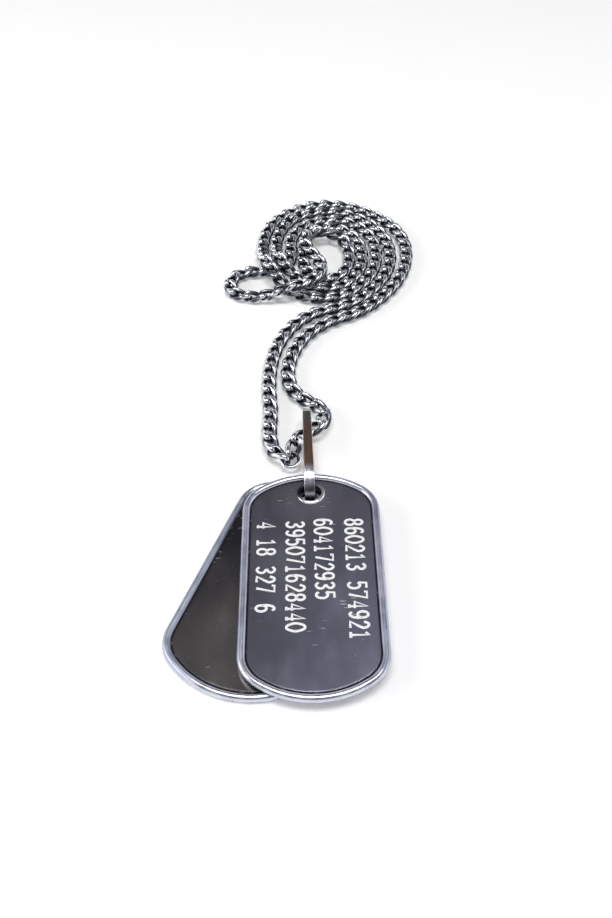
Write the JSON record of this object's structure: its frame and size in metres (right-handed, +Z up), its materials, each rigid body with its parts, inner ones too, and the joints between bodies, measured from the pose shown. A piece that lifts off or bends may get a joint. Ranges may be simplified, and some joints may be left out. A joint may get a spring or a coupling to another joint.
{
  "type": "identification tags on neck chain",
  "caption": "Two oblong metal identification tags with rolled rims on a folded strip bail and one closed curb chain, lying with the chain heaped in coils.",
  "frame": {"origin": "on the surface that the part lies on, under the middle of the whole", "axes": "+Y from the tags to the far end of the heaped chain, +Z up from the surface, +X to the right of the tags' faces"},
  "size_m": [0.0535, 0.1579, 0.0056],
  "materials": {
    "front_tag": "polished steel with fine scratches",
    "back_tag": "polished steel with fine scratches",
    "bail": "mirror polished steel",
    "closing_ring": "mirror polished steel",
    "chain": "mirror polished steel"
  },
  "bodies": {
    "root": {"front_tag": "front_tag", "back_tag": "back_tag", "bail": "bail", "closing_ring": "closing_ring", "chain_near_half": "chain", "chain_far_half": "chain"}
  },
  "joints": []
}
